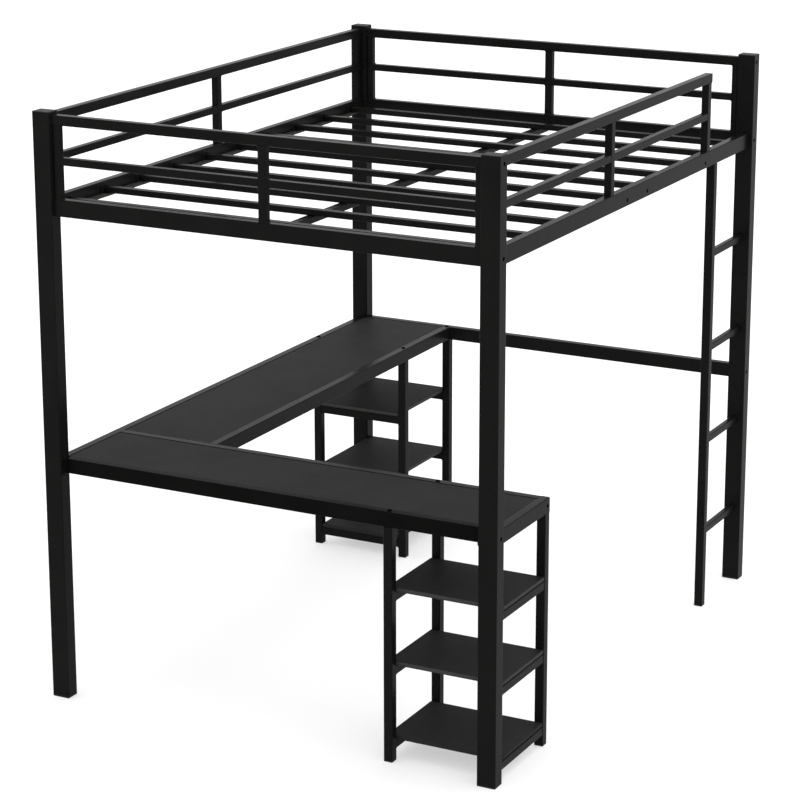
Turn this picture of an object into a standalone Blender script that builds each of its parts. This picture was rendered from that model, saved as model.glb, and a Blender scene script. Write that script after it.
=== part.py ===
"""Loft bed with an L-shaped desk and two shelf stands under it, in welded and bolted steel tube.

Metres, +Z up. The origin is on the floor, under the middle of the posts' outline. X runs along
the bed, and the ladder is at the +X end of the -Y side. "Left" is -X, "front" is -Y.
"""

import math

import bmesh
import bpy
from mathutils import Vector

# Outline of the whole frame
LENGTH = 2.103
WIDTH = 1.597
HEIGHT = 1.930

# Corner posts
POST_X = 0.050
POST_Y = 0.062
POST_WALL = 0.002
POST_RADIUS = 0.004
CAP_PLATE = 0.003
CAP_PLUG = 0.014
FOOT_PAD = 0.006
FOOT_PLUG = 0.016

# Frame tube
WALL = 0.0015
RADIUS = 0.003
CORNER_STEPS = 2
GAP = 0.0003
SINK = 0.002
REACH = 0.0025
DRAIN = 0.008

# Rails of the four sides: heights of the faces, and how far in from the posts' outer faces
SIDE_INSET = 0.015
DECK_RAIL = (1.6005, 1.6550)
MID_RAIL = (1.7630, 1.7870)
TOP_RAIL = (1.8875, 1.9190)
RAIL_DEPTH = 0.028
MID_DEPTH = 0.024
UPRIGHT_DEPTH = 0.025
END_UPRIGHT = 0.022
MIDDLE_UPRIGHT = 0.028
UPRIGHT_GAP = 0.002

# Slats and what carries them
SLAT_COUNT = 10
SLAT_PITCH = 0.205
SLAT_WIDTH = 0.029
SLAT_TOP = 1.6375
SLAT_BOTTOM = 1.6175
LEDGE_DEPTH = 0.024
LEDGE_THICKNESS = 0.003
TAB = (0.018, 0.003, 0.026)
BEAM_WIDTH = 0.028
BEAM_BOTTOM = 1.5950
BEAM_PLATE = 0.003

# Front guard panel and ladder
GUARD_END = 0.638
GUARD_END_UPRIGHT = 0.030
FRONT_UPRIGHT_SHIFT = 0.017
BACK_UPRIGHT_SHIFT = 0.010
END_UPRIGHT_SHIFT = 0.009
STILE_X = (0.680, 0.710)
STILE_DEPTH = 0.030
RUNG_DEPTH = 0.020
RUNG_HEIGHT = 0.025
RUNG_LOWEST = 0.2725
RUNG_PITCH = 0.3358
RUNG_COUNT = 4

# Desk
DESK_TOP = 0.8085
DESK_BOTTOM = 0.7600
DESK_TUBE = 0.030
DESK_LEFT = -1.019
DESK_INNER = -0.6660
DESK_BACK = 0.775
DESK_FRONT_END = -0.7925
DESK_FRONT = 0.3895
DESK_RIGHT = 1.0445
BOARD = 0.015
BOARD_RECESS = 0.001
BOARD_SEAM = 0.0006
DESK_LEDGE = 0.014
DESK_LEDGE_THICKNESS = 0.002
DESK_LEDGE_CLEARANCE = 0.045
END_PLATE = 0.003

# Shelf stands
STAND_LEG = 0.030
STAND_RAIL_DEPTH = 0.028
STAND_RAIL_HEIGHT = 0.028
STAND_LEFT_BACK = -0.404
STAND_RIGHT_LEFT = 0.652
LEG_FOOT = 0.005
SHELF_TOPS = (0.0805, 0.3225, 0.5610)

# Colours, linear: powder-coated steel, moulded plastic and laminated board
BLACK_STEEL = (0.012, 0.012, 0.012, 1.0)
BLACK_PLASTIC = (0.010, 0.010, 0.010, 1.0)
CHARCOAL_BOARD = (0.038, 0.036, 0.040, 1.0)

# For each direction: the two directions across it, then the direction itself
AXES = {"x": (1, 2, 0), "y": (2, 0, 1), "z": (0, 1, 2)}

POST_IN_X = LENGTH / 2 - POST_X
POST_IN_Y = WIDTH / 2 - POST_Y
SIDE_X = LENGTH / 2 - SIDE_INSET
SIDE_Y = WIDTH / 2 - SIDE_INSET
CORNERS = {
    "back_left": (-1, 1),
    "front_left": (-1, -1),
    "front_right": (1, -1),
    "back_right": (1, 1),
}


def clear_scene():
    for piece in list(bpy.data.objects):
        bpy.data.objects.remove(piece, do_unlink=True)


def ring(low, high, axis, place, radius, inset=0.0):
    """Outline with round corners of the box from low to high, cut across the axis at a place on it."""
    first, second, along = AXES[axis]
    half_first = (high[first] - low[first]) / 2 - inset
    half_second = (high[second] - low[second]) / 2 - inset
    middle_first = (high[first] + low[first]) / 2
    middle_second = (high[second] + low[second]) / 2
    corner = max(radius - inset, 0.0006)
    points = []
    for quarter in range(4):
        side_first = 1 if quarter in (0, 3) else -1
        side_second = 1 if quarter in (0, 1) else -1
        for step in range(CORNER_STEPS + 1):
            angle = math.pi / 2 * (quarter + step / CORNER_STEPS)
            point = Vector()
            point[first] = middle_first + side_first * (half_first - corner) + corner * math.cos(angle)
            point[second] = middle_second + side_second * (half_second - corner) + corner * math.sin(angle)
            point[along] = place
            points.append(point)
    return points


def skin(name, rings, hollow=False):
    """Closed body through a row of outlines. A hollow one runs from the last back to the first."""
    shape = bmesh.new()
    loops = [[shape.verts.new(point) for point in outline] for outline in rings]
    pairs = list(zip(loops, loops[1:]))
    if hollow:
        pairs.append((loops[-1], loops[0]))
    else:
        shape.faces.new(reversed(loops[0]))
        shape.faces.new(loops[-1])
    for lower, upper in pairs:
        for index in range(len(lower)):
            after = (index + 1) % len(lower)
            shape.faces.new((lower[index], lower[after], upper[after], upper[index]))
    bmesh.ops.recalc_face_normals(shape, faces=shape.faces)
    mesh = bpy.data.meshes.new(name)
    shape.to_mesh(mesh)
    shape.free()
    piece = bpy.data.objects.new(name, mesh)
    bpy.context.scene.collection.objects.link(piece)
    return piece


def bar(name, low, high, axis, radius):
    along = AXES[axis][2]
    return skin(name, [ring(low, high, axis, place, radius) for place in (low[along], high[along])])


def box(name, low, high):
    """Plain box, with its edges square."""
    shape = bmesh.new()
    bmesh.ops.create_cube(shape, size=1.0)
    for vert in shape.verts:
        for index in range(3):
            vert.co[index] = low[index] if vert.co[index] < 0 else high[index]
    mesh = bpy.data.meshes.new(name)
    shape.to_mesh(mesh)
    shape.free()
    piece = bpy.data.objects.new(name, mesh)
    bpy.context.scene.collection.objects.link(piece)
    return piece


def open_tube(name, low, high, axis, radius=RADIUS, wall=WALL):
    """Straight tube, open at both ends."""
    along = AXES[axis][2]
    start, end = low[along], high[along]
    outer = [ring(low, high, axis, place, radius) for place in (start, end)]
    inner = [ring(low, high, axis, place, radius, wall) for place in (end, start)]
    return skin(name, outer + inner, hollow=True)


def combine(piece, others, operation):
    """Adds the others to the piece, or cuts them from it, and removes them."""
    for other in others:
        modifier = piece.modifiers.new(other.name, "BOOLEAN")
        modifier.operation = operation
        modifier.object = other
    graph = bpy.context.evaluated_depsgraph_get()
    mesh = bpy.data.meshes.new_from_object(piece.evaluated_get(graph))
    piece.modifiers.clear()
    piece.data = mesh
    for other in others:
        bpy.data.objects.remove(other, do_unlink=True)
    return piece


def shifted(low, high, axis, before, after):
    """The box from low to high, made longer along the axis by before at its start and after at its end."""
    along = AXES[axis][2]
    start, end = list(low), list(high)
    start[along] -= before
    end[along] += after
    return start, end


def welded(name, members, plates=(), drains=()):
    """One welded frame of hollow tubes, whose insides all join, with solid plates on it.

    A member is (low, high, axis, start, end). An end is "open", "weld" where it runs into
    another member, or "shut" with a welded cover. A drain is the middle of a hole through a
    tube's lower wall.
    """
    outside = {"open": 0.0, "weld": SINK, "shut": 0.0}
    inside = {"open": 0.001, "weld": REACH, "shut": -WALL}
    bars = []
    hollows = []
    for low, high, axis, start, end in members:
        across = [index for index in range(3) if index != AXES[axis][2]]
        bars.append(bar(name + "_bar", *shifted(low, high, axis, outside[start], outside[end]), axis, RADIUS))
        low_in, high_in = shifted(low, high, axis, inside[start], inside[end])
        for index in across:
            low_in[index] += WALL
            high_in[index] -= WALL
        hollows.append(box(name + "_hollow", low_in, high_in))
    for x, y, z in drains:
        low = (x - DRAIN / 2, y - DRAIN / 2, z - WALL)
        high = (x + DRAIN / 2, y + DRAIN / 2, z + 2 * WALL)
        hollows.append(bar(name + "_drain", low, high, "z", DRAIN / 2))
    solids = bars[1:] + [box(name + "_plate", low, high) for low, high in plates]
    frame = combine(bars[0], solids, "UNION") if solids else bars[0]
    combine(frame, hollows, "DIFFERENCE")
    frame.name = name
    return frame


def finish(piece, colour, roughness, metallic=0.0):
    material = bpy.data.materials.new(piece.name)
    material.use_nodes = True
    shader = material.node_tree.nodes["Principled BSDF"]
    shader.inputs["Base Color"].default_value = colour
    shader.inputs["Roughness"].default_value = roughness
    shader.inputs["Metallic"].default_value = metallic
    piece.data.materials.clear()
    piece.data.materials.append(material)


def steel(piece):
    finish(piece, BLACK_STEEL, 0.45)


def plastic(piece):
    finish(piece, BLACK_PLASTIC, 0.55)


def wood(piece):
    finish(piece, CHARCOAL_BOARD, 0.6)


def span(start, end):
    return (min(start, end), max(start, end))


def plug(name, low, high, plate, radius, wall, upwards):
    """Cap or foot: a plate as wide as the tube, with an eased outer edge and a plug that fits inside."""
    depth = high[2] - low[2]
    ease = plate / 3
    inset = wall + GAP
    steps = [(0.0, ease), (ease, 0.0), (plate, 0.0), (plate, inset), (depth, inset)]
    if upwards:
        outlines = [ring(low, high, "z", low[2] + height, radius, inward) for height, inward in steps]
    else:
        outlines = [ring(low, high, "z", high[2] - height, radius, inward) for height, inward in steps]
    piece = skin(name, outlines)
    plastic(piece)
    return piece


def make_post(corner, side_x, side_y):
    x_range = span(side_x * LENGTH / 2, side_x * POST_IN_X)
    y_range = span(side_y * WIDTH / 2, side_y * POST_IN_Y)
    low = (x_range[0], y_range[0], FOOT_PAD + GAP)
    high = (x_range[1], y_range[1], HEIGHT - CAP_PLATE - GAP)
    steel(open_tube("post_" + corner, low, high, "z", POST_RADIUS, POST_WALL))
    plug(
        "post_foot_" + corner,
        (low[0], low[1], 0.0),
        (high[0], high[1], FOOT_PAD + FOOT_PLUG),
        FOOT_PAD,
        POST_RADIUS,
        POST_WALL,
        upwards=True,
    )
    plug(
        "post_cap_" + corner,
        (low[0], low[1], HEIGHT - CAP_PLATE - CAP_PLUG),
        (high[0], high[1], HEIGHT),
        CAP_PLATE,
        POST_RADIUS,
        POST_WALL,
        upwards=False,
    )


def corners_of(axis, along, across, heights):
    """Low and high corners of a box, from its ranges along the axis, across it and in height."""
    if axis == "x":
        return (along[0], across[0], heights[0]), (along[1], across[1], heights[1])
    return (across[0], along[0], heights[0]), (across[1], along[1], heights[1])


def guard_members(axis, start, end, side, face, shift, free_end=False):
    """Tubes of a guard panel: top rail, two or three uprights, and a mid rail in each bay.

    The panel runs from start to end along the axis, and its outer face is at face on that side.
    With free_end its last upright stands at the very end, and no post hides it.
    """

    def across(depth):
        inset = (RAIL_DEPTH - depth) / 2
        return span(side * (face - inset), side * (face - inset - depth))

    last_width = GUARD_END_UPRIGHT if free_end else END_UPRIGHT
    last_gap = UPRIGHT_GAP / 4 if free_end else UPRIGHT_GAP
    middle = (start + end) / 2 + shift
    uprights = [
        (start + UPRIGHT_GAP, start + UPRIGHT_GAP + END_UPRIGHT),
        (middle - MIDDLE_UPRIGHT / 2, middle + MIDDLE_UPRIGHT / 2),
        (end - last_gap - last_width, end - last_gap),
    ]
    last_end = "shut" if free_end else "open"
    members = [(*corners_of(axis, (start, end), across(RAIL_DEPTH), TOP_RAIL), axis, "open", last_end)]
    for upright in uprights:
        heights = (DECK_RAIL[1], TOP_RAIL[0])
        members.append((*corners_of(axis, upright, across(UPRIGHT_DEPTH), heights), "z", "weld", "weld"))
    for before, after in zip(uprights, uprights[1:]):
        bay = (before[1], after[0])
        members.append((*corners_of(axis, bay, across(MID_DEPTH), MID_RAIL), axis, "weld", "weld"))
    return members


def make_end_panel(name, side):
    """Head or foot panel: a guard panel welded on its deck rail, with a plate that the beam bolts to."""
    start, end = -POST_IN_Y + GAP, POST_IN_Y - GAP
    inner_face = SIDE_X - RAIL_DEPTH
    rail_across = span(side * SIDE_X, side * inner_face)
    deck_rail = (*corners_of("y", (start, end), rail_across, DECK_RAIL), "y", "open", "open")
    members = [deck_rail] + guard_members("y", start, end, side, SIDE_X, -END_UPRIGHT_SHIFT)
    plate_x = span(side * (inner_face + WALL / 2), side * (inner_face - BEAM_PLATE))
    half = BEAM_WIDTH / 2 + 0.006
    plate_low = (plate_x[0], -half, DECK_RAIL[0] + 0.0015)
    plate_high = (plate_x[1], half, DECK_RAIL[1] - 0.006)
    steel(welded(name, members, [(plate_low, plate_high)]))


def slat_centres():
    first = -SLAT_PITCH * (SLAT_COUNT - 1) / 2
    return [first + SLAT_PITCH * index for index in range(SLAT_COUNT)]


def make_side_rail(name, side):
    """Long deck rail with the ledge that the slats rest on, and a stop tab beside each slat."""
    start, end = -POST_IN_X + GAP, POST_IN_X - GAP
    inner = SIDE_Y - RAIL_DEPTH
    low, high = corners_of("x", (start, end), span(side * SIDE_Y, side * inner), DECK_RAIL)
    top = SLAT_BOTTOM - GAP
    ledge = span(side * (inner + WALL / 2), side * (inner - LEDGE_DEPTH))
    plates = [((start + 0.035, ledge[0], top - LEDGE_THICKNESS), (end - 0.035, ledge[1], top))]
    width, thickness, height = TAB
    tab = span(side * (inner + WALL / 2 + 0.0002), side * (inner - thickness))
    for centre in slat_centres():
        edge = centre - SLAT_WIDTH / 2 - 0.002
        plates.append(((edge - width, tab[0], top - 0.001), (edge, tab[1], top - 0.001 + height)))
    steel(welded(name, [(low, high, "x", "open", "open")], plates))


def make_guard(name, side, start, end, middle_shift, free_end):
    """Guard panel that stands on a long deck rail, its uprights' feet shut with small covers."""
    members = []
    for low, high, axis, first, last in guard_members(
        "x", start, end, side, SIDE_Y, middle_shift, free_end
    ):
        if axis == "z":
            low = (low[0], low[1], low[2] + GAP)
            first = "shut"
        members.append((low, high, axis, first, last))
    steel(welded(name, members))


def make_slats():
    reach = SIDE_Y - RAIL_DEPTH - TAB[1] - 0.001
    for number, centre in enumerate(slat_centres(), start=1):
        x_range = (centre - SLAT_WIDTH / 2, centre + SLAT_WIDTH / 2)
        low, high = corners_of("y", (-reach, reach), x_range, (SLAT_BOTTOM, SLAT_TOP))
        steel(open_tube("slat_%d" % number, low, high, "y"))


def make_centre_beam():
    end = SIDE_X - RAIL_DEPTH - BEAM_PLATE - GAP
    half = BEAM_WIDTH / 2
    low, high = corners_of("x", (-end, end), (-half, half), (BEAM_BOTTOM, SLAT_BOTTOM - GAP))
    steel(open_tube("centre_beam", low, high, "x"))


def leg_foot(name, x_range, y_range):
    plug(
        name,
        (x_range[0], y_range[0], 0.0),
        (x_range[1], y_range[1], LEG_FOOT + FOOT_PLUG),
        LEG_FOOT,
        RADIUS,
        WALL,
        upwards=True,
    )


def make_ladder():
    """Ladder stile with its rungs, which reach to the front right post."""
    face = -SIDE_Y
    stile_y = (face, face + STILE_DEPTH)
    low = (STILE_X[0], stile_y[0], LEG_FOOT + GAP)
    high = (STILE_X[1], stile_y[1], DECK_RAIL[0] - GAP)
    members = [(low, high, "z", "open", "open")]
    rung_y = (stile_y[1] - 0.001 - RUNG_DEPTH, stile_y[1] - 0.001)
    for index in range(RUNG_COUNT):
        centre = RUNG_LOWEST + RUNG_PITCH * index
        heights = (centre - RUNG_HEIGHT / 2, centre + RUNG_HEIGHT / 2)
        rung = corners_of("x", (STILE_X[1], POST_IN_X - GAP), rung_y, heights)
        members.append((*rung, "x", "weld", "open"))
    steel(welded("ladder", members))
    leg_foot("ladder_foot", STILE_X, stile_y)


def ledge_plates(axis, along, edge, side, stops=()):
    """Strips that a board rests on, along the edge of a desk tube, broken at each stop."""
    across = span(edge - side * WALL / 2, edge + side * DESK_LEDGE)
    top = DESK_TOP - BOARD_RECESS - BOARD - GAP
    heights = (top - DESK_LEDGE_THICKNESS, top)
    points = [along[0] + DESK_LEDGE_CLEARANCE]
    for low, high in stops:
        points += [low, high]
    points.append(along[1] - DESK_LEDGE_CLEARANCE)
    return [corners_of(axis, reach, across, heights) for reach in zip(points[::2], points[1::2])]


def desk_rail(name, axis, along, across, ends=("open", "open"), plates=(), drains=()):
    low, high = corners_of(axis, along, across, (DESK_BOTTOM, DESK_TOP))
    steel(welded(name, [(low, high, axis, *ends)], plates, drains))


def make_desk_rails():
    left = (DESK_LEFT, DESK_LEFT + DESK_TUBE)
    inner = (DESK_INNER - DESK_TUBE, DESK_INNER)
    right = (DESK_RIGHT - DESK_TUBE, DESK_RIGHT)
    back = (DESK_BACK - DESK_TUBE, DESK_BACK)
    end = (DESK_FRONT_END, DESK_FRONT_END + DESK_TUBE)
    front = (DESK_FRONT, DESK_FRONT + DESK_TUBE)
    post_y = POST_IN_Y - GAP
    post_x = POST_IN_X - GAP
    end_run = (-post_x, DESK_INNER)
    inner_run = (end[1] + GAP, back[0] - GAP)
    front_run = (DESK_INNER + GAP, right[0] - GAP)
    back_run = (-post_x, post_x)
    inner_stop = [(inner[0] - GAP, inner[1] + GAP)]
    make_left_desk_rail(left, post_y)
    desk_rail("desk_rail_end", "x", end_run, end, ("open", "shut"), ledge_plates("x", end_run, end[1], 1))
    # The inner rail runs between the two boards, so it carries both
    inner_ledges = ledge_plates("y", inner_run, inner[0], -1)
    inner_ledges += ledge_plates("y", (front[1], inner_run[1]), inner[1], 1)
    desk_rail("desk_rail_inner", "y", inner_run, inner, plates=inner_ledges)
    desk_rail("desk_rail_front", "x", front_run, front, plates=ledge_plates("x", front_run, front[1], 1))
    back_ledge = ledge_plates("x", back_run, back[0], -1, inner_stop)
    desk_rail("desk_rail_back", "x", back_run, back, plates=back_ledge)
    desk_rail("desk_rail_right", "y", (-post_y, post_y), right)


def make_left_desk_rail(across, post_y):
    """The rail between the two left posts. It stands in from them, so a plate on each end reaches over."""
    plates = []
    for side in (-1, 1):
        plate_y = span(side * post_y, side * (post_y - END_PLATE))
        plate_low = (-LENGTH / 2 + 0.003, plate_y[0], DESK_BOTTOM + 0.0015)
        plate_high = (across[1] - 0.001, plate_y[1], DESK_TOP - 0.0015)
        plates.append((plate_low, plate_high))
    reach = post_y - END_PLATE / 2
    plates += ledge_plates("y", (-reach, reach), across[1], 1)
    middle = (across[0] + across[1]) / 2
    drains = [(middle, side * (reach - 0.080), DESK_BOTTOM) for side in (-1, 1)]
    desk_rail("desk_rail_left", "y", (-reach, reach), across, ("shut", "shut"), plates, drains)


def board(name, x_range, y_range, z_range, notches=()):
    """Laminated board with eased long edges, less any notches."""
    low = (x_range[0], y_range[0], z_range[0])
    high = (x_range[1], y_range[1], z_range[1])
    ease = 0.0008
    heights = [(z_range[0], ease), (z_range[0] + ease, 0.0), (z_range[1] - ease, 0.0), (z_range[1], ease)]
    piece = skin(name, [ring(low, high, "z", height, 0.002, inset) for height, inset in heights])
    if notches:
        cutters = [box(name + "_notch", start, end) for start, end in notches]
        combine(piece, cutters, "DIFFERENCE")
    wood(piece)
    return piece


def make_desk_boards():
    """Two boards let into the desk rails, a little below their tops, notched round posts and plates."""
    top = DESK_TOP - BOARD_RECESS
    heights = (top - BOARD, top)
    above, below = heights[1] + 0.01, heights[0] - 0.01
    left = DESK_LEFT + DESK_TUBE + BOARD_SEAM
    inner_left = DESK_INNER - DESK_TUBE - BOARD_SEAM
    inner_right = DESK_INNER + BOARD_SEAM
    back = DESK_BACK - DESK_TUBE - BOARD_SEAM
    front_end = DESK_FRONT_END + DESK_TUBE + BOARD_SEAM
    right = DESK_RIGHT - DESK_TUBE - BOARD_SEAM
    front = DESK_FRONT + DESK_TUBE + BOARD_SEAM
    post_y = POST_IN_Y - BOARD_SEAM
    plate_notches = []
    for side in (-1, 1):
        notch_y = span(side * (post_y - END_PLATE), side * WIDTH / 2)
        plate_notches.append(((left - 0.01, notch_y[0], below), (left + 0.001, notch_y[1], above)))
    board("desk_board_short", (left, inner_left), (front_end, back), heights, plate_notches)
    post_notch = ((POST_IN_X - BOARD_SEAM, post_y, below), (LENGTH / 2, WIDTH / 2, above))
    board("desk_board_long", (inner_right, right), (front, back), heights, [post_notch])


def shelf_rail_heights():
    return [(top - BOARD - GAP - STAND_RAIL_HEIGHT, top - BOARD - GAP) for top in SHELF_TOPS]


def stand_frame(name, axis, legs, along, across):
    """One side of a shelf stand: upright legs, with three rails welded between them or to a post.

    legs are the legs' ranges along the axis. The rails run over along, and stand across.
    """
    members = []
    for leg in legs:
        low, high = corners_of(axis, leg, across, (LEG_FOOT + GAP, DESK_BOTTOM - GAP))
        members.append((low, high, "z", "open", "open"))
    inset = (STAND_LEG - STAND_RAIL_DEPTH) / 2
    rail_across = (across[0] + inset, across[1] - inset)
    start = "weld" if any(leg[1] <= along[0] + GAP for leg in legs) else "open"
    end = "weld" if any(leg[0] >= along[1] - GAP for leg in legs) else "open"
    for heights in shelf_rail_heights():
        members.append((*corners_of(axis, along, rail_across, heights), axis, start, end))
    steel(welded(name, members))


def make_left_stand():
    """Stand under the short end of the desk, with the front left post as its fourth leg."""
    left = (DESK_LEFT, DESK_LEFT + STAND_LEG)
    right = (DESK_INNER - STAND_LEG, DESK_INNER)
    back = (STAND_LEFT_BACK - STAND_LEG, STAND_LEFT_BACK)
    front = (DESK_FRONT_END, DESK_FRONT_END + STAND_LEG)
    stand_frame("left_stand_back_frame", "x", [left, right], (left[1], right[0]), back)
    stand_frame("left_stand_front_frame", "x", [right], (-POST_IN_X + GAP, right[0]), front)
    leg_foot("left_stand_foot_1", left, back)
    leg_foot("left_stand_foot_2", right, back)
    leg_foot("left_stand_foot_3", right, front)
    for number, top in enumerate(SHELF_TOPS, start=1):
        board(
            "left_shelf_%d" % number,
            (left[1] + BOARD_SEAM, right[0] - BOARD_SEAM),
            (front[0], back[1]),
            (top - BOARD, top),
        )


def make_right_stand():
    """Stand under the long end of the desk, with the back right post as its fourth leg."""
    left = (STAND_RIGHT_LEFT, STAND_RIGHT_LEFT + STAND_LEG)
    right = (DESK_RIGHT - STAND_LEG, DESK_RIGHT)
    front = (DESK_FRONT, DESK_FRONT + STAND_LEG)
    back = (DESK_BACK - STAND_LEG, DESK_BACK)
    stand_frame("right_stand_left_frame", "y", [front, back], (front[1], back[0]), left)
    stand_frame("right_stand_right_frame", "y", [front], (front[1], POST_IN_Y - GAP), right)
    leg_foot("right_stand_foot_1", left, back)
    leg_foot("right_stand_foot_2", left, front)
    leg_foot("right_stand_foot_3", right, front)
    for number, top in enumerate(SHELF_TOPS, start=1):
        heights = (top - BOARD, top)
        notch_low = (POST_IN_X - BOARD_SEAM, POST_IN_Y - BOARD_SEAM, heights[0] - 0.01)
        notch_high = (LENGTH / 2, WIDTH / 2, heights[1] + 0.01)
        board(
            "right_shelf_%d" % number,
            (left[0], right[1]),
            (front[1] + BOARD_SEAM, back[0] - BOARD_SEAM),
            heights,
            [(notch_low, notch_high)],
        )


def main():
    clear_scene()
    for corner, (side_x, side_y) in CORNERS.items():
        make_post(corner, side_x, side_y)
    make_end_panel("end_panel_left", -1)
    make_end_panel("end_panel_right", 1)
    make_side_rail("side_rail_front", -1)
    make_side_rail("side_rail_back", 1)
    make_guard("guard_back", 1, -POST_IN_X + GAP, POST_IN_X - GAP, -BACK_UPRIGHT_SHIFT, free_end=False)
    make_guard("guard_front", -1, -POST_IN_X + GAP, GUARD_END, -FRONT_UPRIGHT_SHIFT, free_end=True)
    make_slats()
    make_centre_beam()
    make_ladder()
    make_desk_rails()
    make_desk_boards()
    make_left_stand()
    make_right_stand()


main()
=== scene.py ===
import math
import random

import bmesh
import bpy
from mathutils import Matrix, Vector


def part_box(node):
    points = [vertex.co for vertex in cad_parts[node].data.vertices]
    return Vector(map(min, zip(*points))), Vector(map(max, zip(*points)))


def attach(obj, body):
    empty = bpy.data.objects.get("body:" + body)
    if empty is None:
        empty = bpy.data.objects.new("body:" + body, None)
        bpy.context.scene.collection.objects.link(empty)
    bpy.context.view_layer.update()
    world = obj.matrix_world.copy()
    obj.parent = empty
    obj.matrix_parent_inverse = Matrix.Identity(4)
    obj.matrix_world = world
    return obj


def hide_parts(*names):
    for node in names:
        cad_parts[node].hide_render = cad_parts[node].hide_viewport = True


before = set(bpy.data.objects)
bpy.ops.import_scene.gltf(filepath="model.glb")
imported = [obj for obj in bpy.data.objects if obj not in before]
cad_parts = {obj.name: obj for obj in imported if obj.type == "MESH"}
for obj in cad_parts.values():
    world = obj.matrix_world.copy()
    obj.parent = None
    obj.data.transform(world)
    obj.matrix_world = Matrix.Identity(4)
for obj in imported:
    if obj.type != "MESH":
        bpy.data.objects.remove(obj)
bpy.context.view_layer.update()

# Heights of the guard panels' rails, which the frame's boxes don't give
DECK_RAIL = (1.6005, 1.6550)
MID_RAIL = (1.7630, 1.7870)
TOP_RAIL = (1.8875, 1.9190)
RAIL_DEPTH = 0.028
MID_DEPTH = 0.024
UPRIGHT_DEPTH = 0.025
END_UPRIGHT = 0.022
MIDDLE_UPRIGHT = 0.028
UPRIGHT_GAP = 0.002
GUARD_END_UPRIGHT = 0.030
BACK_UPRIGHT_SHIFT = -0.010
FRONT_UPRIGHT_SHIFT = -0.017
END_UPRIGHT_SHIFT = -0.009

# Ladder rungs
RUNG_DEPTH = 0.020
RUNG_HEIGHT = 0.025
RUNG_SETBACK = 0.001
RUNG_LOWEST = 0.2725
RUNG_PITCH = 0.3358
RUNG_COUNT = 4
STILE_WIDTH = 0.030

# Slat ledges and the stop tabs beside the slats
LEDGE_DEPTH = 0.024
LEDGE_THICKNESS = 0.003
LEDGE_END = 0.035
TAB_WIDTH = 0.018
TAB_THICKNESS = 0.003
TAB_HEIGHT = 0.025
TAB_GAP = 0.002

# Plate on each end panel's deck rail that carries the middle beam
BEAM_PLATE_MARGIN = 0.006
BEAM_PLATE_RISE = 0.0015
BEAM_PLATE_DROP = 0.006

# Desk and stands
STAND_LEG = 0.030
STAND_RAIL_DEPTH = 0.028
STAND_RAIL_HEIGHT = 0.028
DESK_LEDGE = 0.014
DESK_LEDGE_THICKNESS = 0.002
DESK_LEDGE_CLEARANCE = 0.045
END_PLATE = 0.003
END_PLATE_MARGIN = 0.0015
END_PLATE_SETBACK = 0.001
BOARD_SEAM = 0.0006
BOARD_EASE = 0.0016
SHELF_REBATE = (0.0025, 0.0045)

# Tube
WALL = 0.0015
POST_WALL = 0.002
TUBE_RADIUS = 0.003
POST_RADIUS = 0.004
CORNER_STEPS = 6
GAP = 0.0003

# Caps and feet: the plate outside the tube, its rolled edge and the plug's chamfer
CAP_PLATE = 0.003
FOOT_PLATE = 0.006
PAD_PLATE = 0.005
ROLL = 0.0016
ROLL_STEPS = 5
PLUG_CHAMFER = (0.0009, 0.001)
CAP_CROWN = 0.0003
CROWN_RINGS = ((0.7, 0.0055), (1.0, 0.0115))

# Weld beads: leg, pitch of the ripples, how far apart the sections of a bead stand, least leg and
# how far the bead sinks into its member
WELD_LEG = 0.0027
WELD_PITCH = 0.0034
WELD_STEP = 0.0011
WELD_LEAST = 0.0005
WELD_SINK = 0.0005

# Socket screws: countersunk, but with button heads on top of the desk rails
SCREW_HEAD = 0.0066
SCREW_SHANK = 0.0038
SCREW_LENGTH = 0.012
SOCKET = 0.0026
SOCKET_DEPTH = 0.0026
BUTTON_HEAD = 0.0075
BUTTON_HEIGHT = 0.0040
SCREW_SIDES = 24
HOLE_SLACK = 0.0003

# Places of the screws along the side rails, and how far they stand from the rails' middles or tops
SIDE_SCREWS = (-0.082, 0.082, 0.594)
SIDE_SCREW_DROP = 0.008
DECK_TOP_SCREW = 0.650
END_SCREW_DROP = 0.024
CORNER_SCREW_MARGIN = 0.001

# For each direction: the two directions across it, then the direction itself
AXES = {"x": (1, 2, 0), "y": (2, 0, 1), "z": (0, 1, 2)}

# The floor lies just under the feet, so that no two faces coincide
FLOOR_DROP = 0.0005

CORNERS = {
    "back_left": (-1, 1),
    "front_left": (-1, -1),
    "front_right": (1, -1),
    "back_right": (1, 1),
}


# ---------------------------------------------------------------- materials


def new_material(name):
    """A material with its nodes, its shader and a function that adds a linked node."""
    material = bpy.data.materials.new(name)
    material.use_nodes = True
    tree = material.node_tree
    shader = tree.nodes["Principled BSDF"]

    def add(kind, inputs=None, **settings):
        node = tree.nodes.new(kind)
        for key, value in settings.items():
            setattr(node, key, value)
        for key, value in (inputs or {}).items():
            if hasattr(value, "is_linked"):
                tree.links.new(value, node.inputs[key])
            else:
                node.inputs[key].default_value = value
        return node

    return material, shader, tree.links, add


def object_coordinates(add, stretch=(1.0, 1.0, 1.0)):
    place = add("ShaderNodeTexCoord").outputs["Object"]
    return add("ShaderNodeMapping", {"Vector": place, "Scale": stretch}).outputs["Vector"]


def ramp(add, factor, stops):
    node = add("ShaderNodeValToRGB", {"Fac": factor})
    node.color_ramp.elements[0].position = stops[0][0]
    node.color_ramp.elements[0].color = stops[0][1]
    node.color_ramp.elements[1].position = stops[-1][0]
    node.color_ramp.elements[1].color = stops[-1][1]
    for position, colour in stops[1:-1]:
        node.color_ramp.elements.new(position).color = colour
    return node.outputs["Color"]


def grey(value, warmth=0.0):
    return (value * (1 + warmth), value, value * (1 - warmth), 1.0)


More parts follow.
